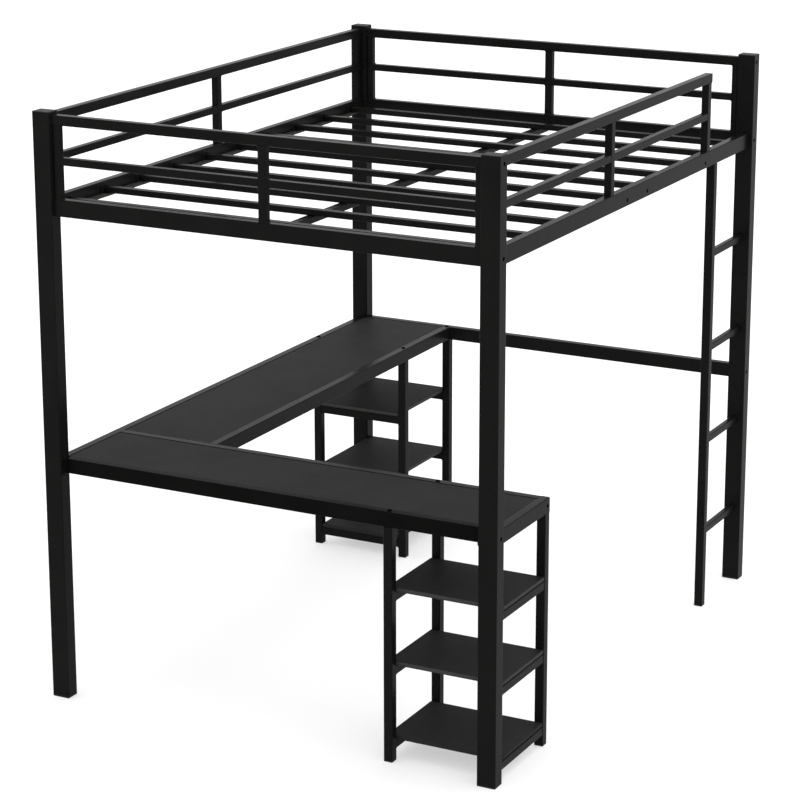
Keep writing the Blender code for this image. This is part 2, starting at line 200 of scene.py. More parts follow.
def powder_coat(name, dark, light, gloss=0.027):
    """Black powder coat: soft clouds of tone, fine orange peel and a dull sheen."""
    material, shader, links, add = new_material(name)
    place = object_coordinates(add)
    clouds = add("ShaderNodeTexNoise", {"Vector": place, "Scale": 5.0, "Detail": 4.0, "Roughness": 0.6})
    speckle = add("ShaderNodeTexNoise", {"Vector": place, "Scale": 420.0, "Detail": 2.0, "Roughness": 0.5})
    peel = add("ShaderNodeTexNoise", {"Vector": place, "Scale": 900.0, "Detail": 3.0, "Roughness": 0.55})
    parts = {0: speckle.outputs["Fac"], 1: 0.35, 2: clouds.outputs["Fac"]}
    tone = add("ShaderNodeMath", parts, operation="MULTIPLY_ADD")
    colour = ramp(add, tone.outputs[0], [(0.40, grey(dark, 0.03)), (0.95, grey(light, 0.03))])
    links.new(colour, shader.inputs["Base Color"])
    rough = add(
        "ShaderNodeMapRange",
        {"Value": tone.outputs[0], "From Min": 0.4, "From Max": 0.95, "To Min": 0.24, "To Max": 0.33},
    )
    links.new(rough.outputs["Result"], shader.inputs["Roughness"])
    bump = add("ShaderNodeBump", {"Height": peel.outputs["Fac"], "Strength": 0.12, "Distance": 0.0003})
    links.new(bump.outputs["Normal"], shader.inputs["Normal"])
    shader.inputs["Specular IOR Level"].default_value = gloss
    return material


def charcoal_board(name, grain):
    """Dark laminate with a faint pressed grain that runs along the board."""
    material, shader, links, add = new_material(name)
    stretch = tuple(0.07 if axis == grain else 1.0 for axis in "xyz")
    along = object_coordinates(add, stretch)
    place = object_coordinates(add)
    streaks = add("ShaderNodeTexNoise", {"Vector": along, "Scale": 160.0, "Detail": 5.0, "Roughness": 0.62})
    pores = add("ShaderNodeTexNoise", {"Vector": along, "Scale": 620.0, "Detail": 2.0, "Roughness": 0.5})
    clouds = add("ShaderNodeTexNoise", {"Vector": place, "Scale": 6.0, "Detail": 3.0, "Roughness": 0.55})
    parts = {0: streaks.outputs["Fac"], 1: 0.8, 2: clouds.outputs["Fac"]}
    tone = add("ShaderNodeMath", parts, operation="MULTIPLY_ADD")
    dark = (0.0152, 0.0142, 0.0147, 1.0)
    light = (0.0202, 0.0190, 0.0195, 1.0)
    colour = ramp(add, tone.outputs[0], [(0.62, dark), (1.18, light)])
    links.new(colour, shader.inputs["Base Color"])
    parts = {0: pores.outputs["Fac"], 1: 0.5, 2: streaks.outputs["Fac"]}
    relief = add("ShaderNodeMath", parts, operation="MULTIPLY_ADD")
    bump = add("ShaderNodeBump", {"Height": relief.outputs[0], "Strength": 0.16, "Distance": 0.0004})
    links.new(bump.outputs["Normal"], shader.inputs["Normal"])
    shader.inputs["Roughness"].default_value = 0.62
    shader.inputs["Specular IOR Level"].default_value = 0.032
    return material


def edge_band():
    """Edge tape on the boards, lighter than their faces, with faint lines along it."""
    material, shader, links, add = new_material("charcoal edge band")
    along = object_coordinates(add, (0.08, 0.08, 1.0))
    lines = add("ShaderNodeTexNoise", {"Vector": along, "Scale": 420.0, "Detail": 3.0, "Roughness": 0.5})
    colour = ramp(add, lines.outputs["Fac"], [(0.35, grey(0.036, 0.02)), (0.70, grey(0.046, 0.02))])
    links.new(colour, shader.inputs["Base Color"])
    shader.inputs["Roughness"].default_value = 0.55
    shader.inputs["Specular IOR Level"].default_value = 0.015
    return material


def moulded_plastic():
    """Black moulded plastic with a fine spark-eroded grain."""
    material, shader, links, add = new_material("black moulded plastic")
    place = object_coordinates(add)
    grain = add("ShaderNodeTexVoronoi", {"Vector": place, "Scale": 1400.0})
    clouds = add("ShaderNodeTexNoise", {"Vector": place, "Scale": 30.0, "Detail": 3.0})
    colour = ramp(add, clouds.outputs["Fac"], [(0.35, grey(0.0045)), (0.70, grey(0.0075))])
    links.new(colour, shader.inputs["Base Color"])
    rough = add(
        "ShaderNodeMapRange",
        {"Value": clouds.outputs["Fac"], "From Min": 0.3, "From Max": 0.7, "To Min": 0.50, "To Max": 0.62},
    )
    links.new(rough.outputs["Result"], shader.inputs["Roughness"])
    bump = add("ShaderNodeBump", {"Height": grain.outputs["Distance"], "Strength": 0.25, "Distance": 0.0002})
    links.new(bump.outputs["Normal"], shader.inputs["Normal"])
    shader.inputs["Specular IOR Level"].default_value = 0.18
    return material


def black_oxide():
    """Blackened screws, darker than the paint round them, with rubbed tones."""
    material, shader, links, add = new_material("black oxide screw")
    place = object_coordinates(add)
    rub = add("ShaderNodeTexNoise", {"Vector": place, "Scale": 260.0, "Detail": 4.0, "Roughness": 0.65})
    colour = ramp(add, rub.outputs["Fac"], [(0.35, grey(0.0014)), (0.72, grey(0.0038, 0.02))])
    links.new(colour, shader.inputs["Base Color"])
    rough = add(
        "ShaderNodeMapRange",
        {"Value": rub.outputs["Fac"], "From Min": 0.3, "From Max": 0.7, "To Min": 0.44, "To Max": 0.58},
    )
    links.new(rough.outputs["Result"], shader.inputs["Roughness"])
    shader.inputs["Specular IOR Level"].default_value = 0.0
    return material


def floor_paint():
    """White floor of a studio sweep, lit from below as well so that its shadows stay pale."""
    material, shader, links, add = new_material("pale floor")
    place = object_coordinates(add)
    clouds = add("ShaderNodeTexNoise", {"Vector": place, "Scale": 0.8, "Detail": 3.0})
    colour = ramp(add, clouds.outputs["Fac"], [(0.3, grey(0.52)), (0.7, grey(0.53))])
    links.new(colour, shader.inputs["Base Color"])
    shader.inputs["Emission Color"].default_value = grey(1.0)
    shader.inputs["Emission Strength"].default_value = 0.48
    shader.inputs["Roughness"].default_value = 0.9
    shader.inputs["Specular IOR Level"].default_value = 0.1
    return material


STEEL = powder_coat("black powder coat", 0.0048, 0.0080)
# The ledges get a far lighter copy of the black coat: painted light standing in for the light on their tops.
LIT_LEDGE_STEEL = powder_coat("powder coat lightened as painted light", 0.030, 0.042)
# A darker, less glossy copy of the black coat for the left desk rail: painted shade, not a different paint.
SHADED_STEEL = powder_coat("powder coat darkened as painted shade", 0.0030, 0.0055, 0.0075)
BOARD_LONG = charcoal_board("charcoal board along X", "x")
BOARD_SHORT = charcoal_board("charcoal board along Y", "y")
EDGE_BAND = edge_band()
PLASTIC = moulded_plastic()
SCREW = black_oxide()


# ---------------------------------------------------------------- mesh tools


def outline(width, depth, radius, steps=CORNER_STEPS, spacing=None):
    """Rectangle with round corners about its middle, as ((across, up), (normal across, normal up)).

    With a spacing, its straight sides get points that far apart as well.
    """
    points = []
    for quarter in range(4):
        side_u = 1 if quarter in (0, 3) else -1
        side_v = 1 if quarter in (0, 1) else -1
        centre = (side_u * (width / 2 - radius), side_v * (depth / 2 - radius))
        for step in range(steps + 1):
            angle = math.pi / 2 * (quarter + step / steps)
            normal = (math.cos(angle), math.sin(angle))
            points.append(((centre[0] + radius * normal[0], centre[1] + radius * normal[1]), normal))
        if spacing:
            length = (depth if quarter in (1, 3) else width) - 2 * radius
            count = int(length / spacing)
            normal = points[-1][1]
            start = points[-1][0]
            for step in range(1, count):
                travel = length * step / count
                points.append(((start[0] - normal[1] * travel, start[1] + normal[0] * travel), normal))
    return points


def placed(low, high, axis, points, along, inset=0.0):
    """The outline's points on the box from low to high, cut across the axis at a place along it."""
    first, second, direction = AXES[axis]
    centre = ((low[first] + high[first]) / 2, (low[second] + high[second]) / 2)
    ring = []
    for (u, v), (normal_u, normal_v) in points:
        point = Vector()
        point[first] = centre[0] + u - inset * normal_u
        point[second] = centre[1] + v - inset * normal_v
        point[direction] = along
        ring.append(point)
    return ring


def skin(shape, rings, closed=False):
    """Adds a body through a row of rings: its ends get a face each, or it runs back to the first ring."""
    loops = [[shape.verts.new(point) for point in ring] for ring in rings]
    pairs = list(zip(loops, loops[1:]))
    faces = []
    if closed:
        pairs.append((loops[-1], loops[0]))
    else:
        faces.append(shape.faces.new(reversed(loops[0])))
        faces.append(shape.faces.new(loops[-1]))
    for lower, upper in pairs:
        for index in range(len(lower)):
            after = (index + 1) % len(lower)
            faces.append(shape.faces.new((lower[index], lower[after], upper[after], upper[index])))
    bmesh.ops.recalc_face_normals(shape, faces=faces)


def across(low, high, axis):
    first, second, _ = AXES[axis]
    return high[first] - low[first], high[second] - low[second]


def tube(shape, low, high, axis, radius=TUBE_RADIUS, wall=WALL):
    """Open tube with fine round corners and lightly eased cut ends."""
    start, end = low[AXES[axis][2]], high[AXES[axis][2]]
    points = outline(*across(low, high, axis), radius)
    ease = 0.0004
    outer = [(start, ease), (start + ease, 0.0), (end - ease, 0.0), (end, ease)]
    rings = [placed(low, high, axis, points, place, inset) for place, inset in outer]
    rings += [placed(low, high, axis, points, place, wall) for place in (end, start)]
    skin(shape, rings, closed=True)


def bar(shape, low, high, axis, radius=TUBE_RADIUS):
    """Closed bar with round corners, for a tube whose ends don't show."""
    direction = AXES[axis][2]
    points = outline(*across(low, high, axis), radius)
    skin(shape, [placed(low, high, axis, points, place) for place in (low[direction], high[direction])])


def plate(shape, low, high, ease=0.0006, rebate=None):
    """Plate or board with all its edges eased by two small steps, over a rebate (depth, height) if any."""
    depth, rise = rebate or (0.0, 0.0)
    points = outline(high[0] - low[0], high[1] - low[1], ease * 2 + depth, steps=3)
    steps = [(0.0, 1.0), (0.3, 0.3), (1.0, 0.0)]
    bottom = low[2] + rise
    rings = []
    if rebate:
        rings += [placed(low, high, "z", points, height, ease + depth) for height in (low[2], bottom)]
    rings += [placed(low, high, "z", points, bottom + ease * up, ease * inset) for up, inset in steps]
    rings += [placed(low, high, "z", points, high[2] - ease * up, ease * inset) for up, inset in steps[::-1]]
    skin(shape, rings)


def weld(shape, low, high, axis, end, neighbour, seed):
    """Rippled weld bead round the end of a member, where it stands on its neighbour's face."""
    first, second, direction = AXES[axis]
    edge = high[direction] if end else low[direction]
    inward = -1 if end else 1
    margins = {
        (0, 1): neighbour[1][first] - high[first],
        (0, -1): low[first] - neighbour[0][first],
        (1, 1): neighbour[1][second] - high[second],
        (1, -1): low[second] - neighbour[0][second],
    }
    legs = {side: min(WELD_LEG, max(WELD_LEAST, margin)) for side, margin in margins.items()}
    points = outline(*across(low, high, axis), TUBE_RADIUS, spacing=WELD_STEP)
    centre = ((low[first] + high[first]) / 2, (low[second] + high[second]) / 2)
    chance = random.Random(seed)
    phase = chance.uniform(0, 6.28)
    travel = 0.0
    last = None
    loops = []
    for (u, v), (normal_u, normal_v) in points:
        if last is not None:
            travel += math.hypot(u - last[0], v - last[1])
        last = (u, v)
        ripple = 1 + 0.10 * math.sin(2 * math.pi * travel / WELD_PITCH + phase) + chance.uniform(-0.04, 0.04)
        side_u = legs[(0, 1 if normal_u > 0 else -1)]
        side_v = legs[(1, 1 if normal_v > 0 else -1)]
        out = (side_u * normal_u ** 2 + side_v * normal_v ** 2) * ripple
        up = WELD_LEG * ripple
        section = [
            (-WELD_SINK, -GAP),
            (out, -GAP),
            (out * 0.74, up * 0.42),
            (out * 0.36, up * 0.78),
            (-WELD_SINK, up),
        ]
        loop = []
        for outwards, upwards in section:
            point = Vector()
            point[first] = centre[0] + u + normal_u * outwards
            point[second] = centre[1] + v + normal_v * outwards
            point[direction] = edge + inward * upwards
            loop.append(shape.verts.new(point))
        loops.append(loop)
    faces = []
    for loop, following in zip(loops, loops[1:] + loops[:1]):
        for index in range(len(loop)):
            after = (index + 1) % len(loop)
            faces.append(shape.faces.new((loop[index], loop[after], following[after], following[index])))
    bmesh.ops.recalc_face_normals(shape, faces=faces)


def link(name, shape, material, replaced=(), crease=35):
    """Makes the piece from its shape, with smooth round parts and true flats, and hangs it on the frame."""
    mesh = bpy.data.meshes.new(name)
    shape.to_mesh(mesh)
    shape.free()
    mesh.shade_smooth()
    mesh.set_sharp_from_angle(angle=math.radians(crease))
    piece = bpy.data.objects.new(name, mesh)
    bpy.context.scene.collection.objects.link(piece)
    mesh.materials.append(material)
    normals = piece.modifiers.new("flat faces stay flat", "WEIGHTED_NORMAL")
    normals.keep_sharp = True
    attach(piece, "root")
    if replaced:
        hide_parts(*replaced)
    return piece


def cut(shape, cutters):
    """The shape less its cutters, which are shapes too."""
    pieces = []
    for source in [shape] + cutters:
        mesh = bpy.data.meshes.new("cut")
        source.to_mesh(mesh)
        source.free()
        piece = bpy.data.objects.new("cut", mesh)
        bpy.context.scene.collection.objects.link(piece)
        pieces.append(piece)
    for cutter in pieces[1:]:
        modifier = pieces[0].modifiers.new("cut", "BOOLEAN")
        modifier.operation = "DIFFERENCE"
        modifier.object = cutter
    graph = bpy.context.evaluated_depsgraph_get()
    result = bmesh.new()
    result.from_mesh(pieces[0].evaluated_get(graph).to_mesh())
    for piece in pieces:
        mesh = piece.data
        bpy.data.objects.remove(piece, do_unlink=True)
        bpy.data.meshes.remove(mesh)
    return result


def turned(shape, place, outward, profile):
    """Body turned about the outward direction, from (radius, height) or (radius, height, hexagon) steps."""
    turn = Vector((0, 0, 1)).rotation_difference(Vector(outward))
    rings = []
    for step in profile:
        radius, height = step[0], step[1]
        ring = []
        for index in range(SCREW_SIDES):
            angle = 2 * math.pi * (index + 0.5) / SCREW_SIDES
            reach = radius
            if len(step) == 3:
                reach = radius / math.cos((angle + math.pi / 6) % (math.pi / 3) - math.pi / 6)
            point = Vector((reach * math.cos(angle), reach * math.sin(angle), height))
            ring.append(Vector(place) + turn @ point)
        rings.append(ring)
    skin(shape, rings)


def screw_hole(place, outward, button):
    """Cutter for a screw's hole, countersunk unless the screw has a button head."""
    shape = bmesh.new()
    narrow, wide = SCREW_SHANK + HOLE_SLACK, SCREW_HEAD + HOLE_SLACK
    profile = [(narrow, -0.006)]
    profile += [(narrow, 0.001)] if button else [(narrow, -0.0025), (wide, 0.0), (wide, 0.001)]
    turned(shape, place, outward, profile)
    return shape


def screw(shape, place, outward):
    """Countersunk screw with a hexagon socket, flush with the face."""
    profile = [
        (SOCKET * 0.5, -SOCKET_DEPTH - 0.0004),
        (SOCKET * 0.98, -SOCKET_DEPTH, "hexagon"),
        (SOCKET, -0.0005, "hexagon"),
        (SOCKET * 1.2, -0.00015),
        (SCREW_HEAD - 0.0008, -0.0001),
        (SCREW_HEAD - 0.0001, -0.0004),
        (SCREW_HEAD - 0.0002, -0.0008),
        (SCREW_SHANK, -0.0026),
        (SCREW_SHANK, -SCREW_LENGTH),
    ]
    turned(shape, place, outward, profile)


def button_screw(shape, place, outward):
    """Screw with a domed head that stands on the face."""
    angles = [math.pi / 2 * step / 6 for step in range(1, 5)]
    dome = [(BUTTON_HEAD * math.cos(angle), BUTTON_HEIGHT * math.sin(angle)) for angle in angles]
    profile = [
        (SOCKET * 0.5, BUTTON_HEIGHT - SOCKET_DEPTH + 0.0002),
        (SOCKET * 0.98, BUTTON_HEIGHT - SOCKET_DEPTH + 0.0006, "hexagon"),
        (SOCKET, BUTTON_HEIGHT - 0.0003, "hexagon"),
        *reversed(dome),
        (BUTTON_HEAD, 0.0),
        (SCREW_SHANK, 0.0),
        (SCREW_SHANK, -SCREW_LENGTH),
    ]
    turned(shape, place, outward, profile)


def drilled(shape, holes, button=False):
    if not holes:
        return shape
    return cut(shape, [screw_hole(place, outward, button) for place, outward in holes])


def steel_piece(name, shape, *replaced):
    return link(name, shape, STEEL, replaced)


# ---------------------------------------------------------------- where the screws are


def middle(low, high):
    return (low + high) / 2


def post_screws():
    """The screws through each post: panels, desk and shelf rails from its Y face, rungs from its X face."""
    desk_height = middle(*(corner.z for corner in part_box("desk_rail_front")))
    shelf_heights = [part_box("left_shelf_%d" % number)[0].z - STAND_RAIL_HEIGHT / 2 for number in (1, 2, 3)]
    holes = {}
    for corner, (side_x, side_y) in CORNERS.items():
        low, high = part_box("post_" + corner)
        face_y = high.y if side_y > 0 else low.y
        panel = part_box("end_panel_right" if side_x > 0 else "end_panel_left")
        panel_x = panel[1].x - RAIL_DEPTH / 2 if side_x > 0 else panel[0].x + RAIL_DEPTH / 2
        heights = [middle(*TOP_RAIL), middle(*DECK_RAIL), desk_height]
        if corner == "back_right":
            heights += shelf_heights
        holes[corner] = [((panel_x, face_y, height), (0, side_y, 0)) for height in heights]
    face_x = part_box("post_front_right")[1].x
    rung_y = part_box("ladder")[1].y - RUNG_SETBACK - RUNG_DEPTH / 2
    rungs = [RUNG_LOWEST + RUNG_PITCH * index for index in range(RUNG_COUNT)]
    holes["front_right"] += [((face_x, rung_y, height), (1, 0, 0)) for height in rungs]
    return holes


# ---------------------------------------------------------------- pieces


def make_posts():
    for corner, holes in post_screws().items():
        low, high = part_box("post_" + corner)
        shape = bmesh.new()
        tube(shape, low, high, "z", POST_RADIUS, POST_WALL)
        steel_piece("post_tube_" + corner, drilled(shape, holes), "post_" + corner)
        screws = bmesh.new()
        for place, outward in holes:
            screw(screws, place, outward)
        link("post_screws_" + corner, screws, SCREW)


def moulding(node, wall, plate_height, radius, name, is_cap):
    """Cap or foot: a plug inside the tube and a flange with a rolled edge, slightly crowned on a cap."""
    low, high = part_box(node)
    width, length = high.x - low.x, high.y - low.y
    depth = high.z - low.z
    crown = CAP_CROWN if is_cap else 0.0

    def ring(points, height, inward):
        z = low.z + height if is_cap else high.z - height
        return placed(low, high, "z", points, z, inward)

    inset = wall + GAP
    roll = min(ROLL, plate_height * 0.5)
    plug_end = depth - plate_height
    steps = [(0.0, inset + PLUG_CHAMFER[0]), (PLUG_CHAMFER[1], inset), (plug_end, inset), (plug_end, 0.0)]
    for step in range(ROLL_STEPS + 1):
        angle = math.pi / 2 * step / ROLL_STEPS
        steps.append((depth - crown - roll + roll * math.sin(angle), roll * (1 - math.cos(angle))))
    points = outline(width, length, radius)
    rings = [ring(points, height, inward) for height, inward in steps]
    if is_cap:
        for rise, inward in CROWN_RINGS:
            crowned = outline(width - 2 * inward, length - 2 * inward, radius / 2)
            rings.append(ring(crowned, depth - crown * (1 - rise), 0.0))
    shape = bmesh.new()
    skin(shape, rings)
    return link(name, shape, PLASTIC, (node,))


def make_caps_and_feet():
    for corner in CORNERS:
        moulding("post_cap_" + corner, POST_WALL, CAP_PLATE, POST_RADIUS, "cap_" + corner, True)
        moulding("post_foot_" + corner, POST_WALL, FOOT_PLATE, POST_RADIUS, "foot_" + corner, False)
    feet = ["ladder_foot"]
    for side in ("left", "right"):
        feet += ["%s_stand_foot_%d" % (side, number) for number in (1, 2, 3)]
    for node in feet:
        moulding(node, WALL, PAD_PLATE, TUBE_RADIUS, node + "_pad", False)


def box_between(axis, along, crossways, heights):
    if axis == "x":
        return Vector((along[0], crossways[0], heights[0])), Vector((along[1], crossways[1], heights[1]))
    return Vector((crossways[0], along[0], heights[0])), Vector((crossways[1], along[1], heights[1]))


def span(start, end):
    return (min(start, end), max(start, end))


def guard_panel(shape, axis, start, end, side, face, shift, free_end, with_deck_rail, seed):
    """Top rail, uprights and mid rails of a guard panel, with their welds, and its deck rail if any."""

    def crossways(depth):
        inset = (RAIL_DEPTH - depth) / 2
        return span(side * (face - inset), side * (face - inset - depth))

    last_width = GUARD_END_UPRIGHT if free_end else END_UPRIGHT
    last_gap = UPRIGHT_GAP / 4 if free_end else UPRIGHT_GAP
    centre = (start + end) / 2 + shift
    uprights = [
        (start + UPRIGHT_GAP, start + UPRIGHT_GAP + END_UPRIGHT),
        (centre - MIDDLE_UPRIGHT / 2, centre + MIDDLE_UPRIGHT / 2),
        (end - last_gap - last_width, end - last_gap),
    ]
    top = box_between(axis, (start, end), crossways(RAIL_DEPTH), TOP_RAIL)
    deck = box_between(axis, (start, end), crossways(RAIL_DEPTH), DECK_RAIL)
    bar(shape, *top, axis)
    if with_deck_rail:
        bar(shape, *deck, axis)
    foot = DECK_RAIL[1] if with_deck_rail else DECK_RAIL[1] + GAP
    posts = []
    for number, upright in enumerate(uprights):
        low, high = box_between(axis, upright, crossways(UPRIGHT_DEPTH), (foot, TOP_RAIL[0]))
        bar(shape, low, high, "z")
        weld(shape, low, high, "z", True, top, seed + number)
        if with_deck_rail:
            weld(shape, low, high, "z", False, deck, seed + 10 + number)
        posts.append((low, high))
    for number, (before, after) in enumerate(zip(uprights, uprights[1:])):
        low, high = box_between(axis, (before[1], after[0]), crossways(MID_DEPTH), MID_RAIL)
        bar(shape, low, high, axis)
        weld(shape, low, high, axis, False, posts[number], seed + 20 + number)
        weld(shape, low, high, axis, True, posts[number + 1], seed + 30 + number)


def make_end_panels():
    for name, side, seed in (("end_panel_left", -1, 100), ("end_panel_right", 1, 200)):
        low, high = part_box(name)
        shape = bmesh.new()
        face = abs(low.x if side < 0 else high.x)
        guard_panel(shape, "y", low.y, high.y, side, face, END_UPRIGHT_SHIFT, False, True, seed)
        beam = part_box("centre_beam")
        beam_end = beam[1].x if side > 0 else beam[0].x
        plate_x = span(side * (face - RAIL_DEPTH), beam_end + side * GAP)
        half = (beam[1].y - beam[0].y) / 2 + BEAM_PLATE_MARGIN
        heights = (DECK_RAIL[0] + BEAM_PLATE_RISE, DECK_RAIL[1] - BEAM_PLATE_DROP)
        plate(shape, (plate_x[0], -half, heights[0]), (plate_x[1], half, heights[1]))
        steel_piece(name + "_frame", shape, name)


def slat_boxes():
    return [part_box("slat_%d" % number) for number in range(1, 11)]


def make_side_rails():
    slats = slat_boxes()
    top = slats[0][0].z - GAP
    for name, side in (("side_rail_front", -1), ("side_rail_back", 1)):
        low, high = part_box(name)
        face = abs(low.y if side < 0 else high.y)
        inner = face - RAIL_DEPTH
        rail = box_between("x", (low.x, high.x), span(side * face, side * inner), DECK_RAIL)
        tube_shape = bmesh.new()
        bar(tube_shape, *rail, "x")
        height = middle(*DECK_RAIL) - SIDE_SCREW_DROP
        holes = [((x, side * face, height), (0, side, 0)) for x in SIDE_SCREWS]
        if side < 0:
            holes.append(((DECK_TOP_SCREW, side * (face - RAIL_DEPTH / 2), DECK_RAIL[1]), (0, 0, 1)))
        tube_shape = drilled(tube_shape, holes)
        tab = span(side * inner, side * (inner - TAB_THICKNESS))
        for slat in slats:
            edge = slat[0].x - TAB_GAP
            plate(tube_shape, (edge - TAB_WIDTH, tab[0], top), (edge, tab[1], top + TAB_HEIGHT))
        steel_piece(name + "_tube", tube_shape, name)
        shape = bmesh.new()
        ledge = span(side * inner, side * (inner - LEDGE_DEPTH))
        ledge_x = (low.x + LEDGE_END, high.x - LEDGE_END)
        plate(shape, (ledge_x[0], ledge[0], top - LEDGE_THICKNESS), (ledge_x[1], ledge[1], top))
        # The ledge is painted lighter than the rail: painted light on its top.
        link(name + "_ledge", shape, LIT_LEDGE_STEEL)
        screws = bmesh.new()
        for place, outward in holes:
            screw(screws, place, outward)
        link(name + "_screws", screws, SCREW)


def make_guards():
    low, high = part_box("guard_back")
    shape = bmesh.new()
    guard_panel(shape, "x", low.x, high.x, 1, high.y, BACK_UPRIGHT_SHIFT, False, False, 300)
    steel_piece("guard_back_frame", shape, "guard_back")
    low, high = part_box("guard_front")
    shape = bmesh.new()
    guard_panel(shape, "x", low.x, high.x, -1, -low.y, FRONT_UPRIGHT_SHIFT, True, False, 400)
    steel_piece("guard_front_frame", shape, "guard_front")


def make_deck():
    for number, (low, high) in enumerate(slat_boxes(), start=1):
        shape = bmesh.new()
        tube(shape, low, high, "y")
        steel_piece("slat_%d_tube" % number, shape, "slat_%d" % number)
    low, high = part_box("centre_beam")
    shape = bmesh.new()
    tube(shape, low, high, "x")
    steel_piece("centre_beam_tube", shape, "centre_beam")


def make_ladder():
    low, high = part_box("ladder")
    stile = (Vector(low), Vector((low.x + STILE_WIDTH, high.y, high.z)))
    shape = bmesh.new()
    tube(shape, *stile, "z")
    rung_y = (high.y - RUNG_SETBACK - RUNG_DEPTH, high.y - RUNG_SETBACK)
    for index in range(RUNG_COUNT):
        centre = RUNG_LOWEST + RUNG_PITCH * index
        heights = (centre - RUNG_HEIGHT / 2, centre + RUNG_HEIGHT / 2)
        rung = box_between("x", (stile[1].x, high.x), rung_y, heights)
        bar(shape, *rung, "x")
        weld(shape, *rung, "x", False, stile, 500 + index)
    steel_piece("ladder_frame", shape, "ladder")


def desk_ledge(shape, axis, along, edge, side):
    crossways = span(edge, edge + side * DESK_LEDGE)
    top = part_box("desk_board_long")[0].z - GAP
    low, high = box_between(axis, along, crossways, (top - DESK_LEDGE_THICKNESS, top))
    plate(shape, low, high)


def desk_screw_holes():
    """Screws down through the desk rails into the stands' legs, by the rail they go through."""
    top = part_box("desk_rail_front")[1].z
    up = (0, 0, 1)
    back_leg, front_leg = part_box("left_stand_back_frame"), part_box("left_stand_front_frame")
    left_frame, right_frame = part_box("right_stand_left_frame"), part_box("right_stand_right_frame")
    half = STAND_LEG / 2
    leg_y = middle(back_leg[0].y, back_leg[1].y)
    right_x = right_frame[0].x + BUTTON_HEAD + CORNER_SCREW_MARGIN
    front_y = left_frame[0].y + half
    end_place = (front_leg[1].x - half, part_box("desk_rail_end")[0].y, top - END_SCREW_DROP)
    return {
        "desk_rail_left": [((back_leg[0].x + half, leg_y, top), up)],
        "desk_rail_inner": [((back_leg[1].x - half, leg_y, top), up)],
        "desk_rail_end": [(end_place, (0, -1, 0))],
        "desk_rail_back": [((left_frame[0].x + half, left_frame[1].y - half, top), up)],
        "desk_rail_front": [((left_frame[0].x + half, front_y, top), up)],
        "desk_rail_right": [((right_x, front_y, top), up)],
    }


def make_desk_rails():
    holes = desk_screw_holes()
    board_short, board_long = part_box("desk_board_short"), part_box("desk_board_long")
    inner = (board_short[1].x + BOARD_SEAM, board_long[0].x - BOARD_SEAM)
    for name in ("left", "end", "inner", "front", "back", "right"):
        node = "desk_rail_" + name
        low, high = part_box(node)
        low, high = Vector(low), Vector(high)
        axis = "x" if name in ("end", "front", "back") else "y"
        if name == "left":
            low.x, high.x = board_short[0].x - BOARD_SEAM - STAND_LEG, board_short[0].x - BOARD_SEAM
        if name == "end":
            high.y = board_short[0].y - BOARD_SEAM
        if name == "inner":
            low.x, high.x = inner
        if name == "front":
            high.y = board_long[0].y - BOARD_SEAM
        if name == "back":
            low.y = board_long[1].y + BOARD_SEAM
        shape = bmesh.new()
        bar(shape, low, high, axis)
        upright = name == "end"
        shape = drilled(shape, holes[node], button=not upright)
        clear = DESK_LEDGE_CLEARANCE
        if name == "left":
            desk_ledge(shape, axis, (low.y + clear, high.y - clear), high.x, 1)
            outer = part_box(node)[0].x
            for edge, inward in ((low.y, 1), (high.y, -1)):
                plate_y = span(edge, edge + inward * END_PLATE)
                start = (outer, plate_y[0], low.z + END_PLATE_MARGIN)
                end = (high.x - END_PLATE_SETBACK, plate_y[1], high.z - END_PLATE_MARGIN)
                plate(shape, start, end)
        if name == "end":
            desk_ledge(shape, axis, (low.x + clear, high.x - clear), high.y, 1)
        if name == "inner":
            desk_ledge(shape, axis, (low.y + clear, high.y - clear), low.x, -1)
            desk_ledge(shape, axis, (board_long[0].y - BOARD_SEAM + clear, high.y - clear), high.x, 1)
        if name == "front":
            desk_ledge(shape, axis, (low.x + clear, high.x - clear), high.y, 1)
        if name == "back":
            desk_ledge(shape, axis, (low.x + clear, inner[0] - GAP), low.y, -1)
            desk_ledge(shape, axis, (inner[1] + GAP, high.x - clear), low.y, -1)
        # The left desk rail gets the darker coat as painted shade.
        finish = SHADED_STEEL if name == "left" else STEEL
        link(node + "_tube", shape, finish, (node,))
        screws = bmesh.new()
        for place, outward in holes[node]:
            if upright:
                screw(screws, place, outward)
            else:
                button_screw(screws, place, outward)
        link(node + "_screws", screws, SCREW)


def board(name, node, material, notches=(), rebate=None, taped_not_shaded=True):
    """A board in its laminate, with lighter tape on its edges unless its edges are left dark as painted
    shade.
    """
    low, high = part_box(node)
    shape = bmesh.new()
    plate(shape, low, high, BOARD_EASE, rebate)
    if notches:
        cutters = []
        for start, end in notches:
            cutter = bmesh.new()
            plate(cutter, start, end, ease=0.0002)
            cutters.append(cutter)
        shape = cut(shape, cutters)
    mesh = link(name, shape, material, (node,), crease=50).data
    if taped_not_shaded:
        mesh.materials.append(EDGE_BAND)
        for face in mesh.polygons:
            face.material_index = 1 if abs(face.normal.z) < 0.5 else 0


def make_boards():
    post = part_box("post_back_right")
    beyond = 0.01

    def round_post(node):
        low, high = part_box(node)
        start = (post[0].x - BOARD_SEAM, post[0].y - BOARD_SEAM, low.z - beyond)
        return [(start, (post[1].x + beyond, post[1].y + beyond, high.z + beyond))]

    board("desk_board_long_panel", "desk_board_long", BOARD_LONG, round_post("desk_board_long"))
    board("desk_board_short_panel", "desk_board_short", BOARD_SHORT)
    for number in (1, 2, 3):
        # The lowest shelf gets no lighter edge tape, so that its edges stay dark: painted shade, as in the
        # shadow near the floor.
        taped_not_shaded = number > 1
        node = "left_shelf_%d" % number
        board(node + "_panel", node, BOARD_LONG, (), SHELF_REBATE, taped_not_shaded)
        node = "right_shelf_%d" % number
        board(node + "_panel", node, BOARD_LONG, round_post(node), SHELF_REBATE, taped_not_shaded)


